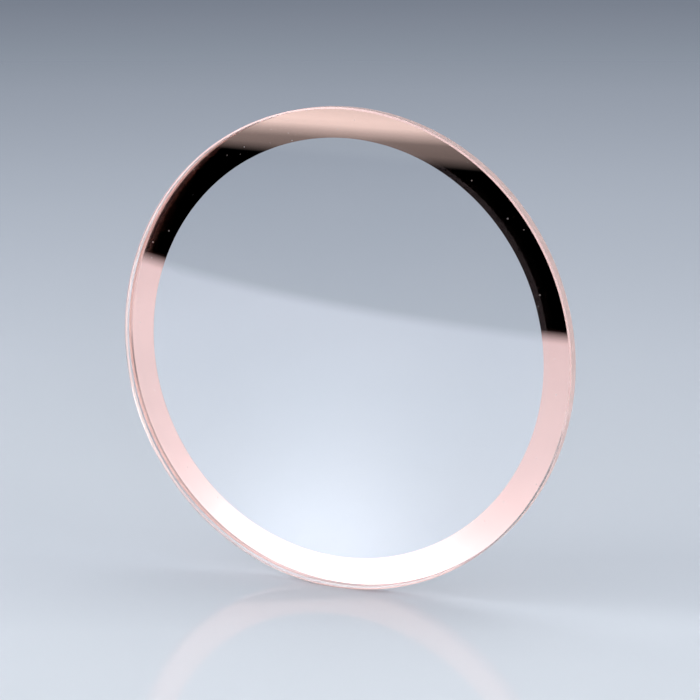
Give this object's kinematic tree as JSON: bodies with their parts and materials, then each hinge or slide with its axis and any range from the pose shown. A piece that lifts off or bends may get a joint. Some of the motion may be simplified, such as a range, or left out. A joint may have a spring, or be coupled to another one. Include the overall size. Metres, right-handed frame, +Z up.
{
  "type": "watch crystal",
  "caption": "Thin flat round sapphire watch crystal with chamfered edges and a mirror-bright rose-gold reflector ring on the margin of its inner face.",
  "frame": {"origin": "centre of the disc, on its axis, halfway between the outer and inner faces", "axes": "+Z up with the crystal standing on its rim; +Y along the disc's axis, from the outer face towards the inner face"},
  "size_m": [0.032, 0.001, 0.032],
  "materials": {
    "sapphire": "polished clear faces and chamfers, fine-ground rim",
    "rose_gold_film": "mirror-bright vacuum-deposited rose-gold film seen through the crystal"
  },
  "bodies": {
    "root": {"crystal": "sapphire", "reflector_ring": "rose_gold_film"}
  },
  "joints": []
}
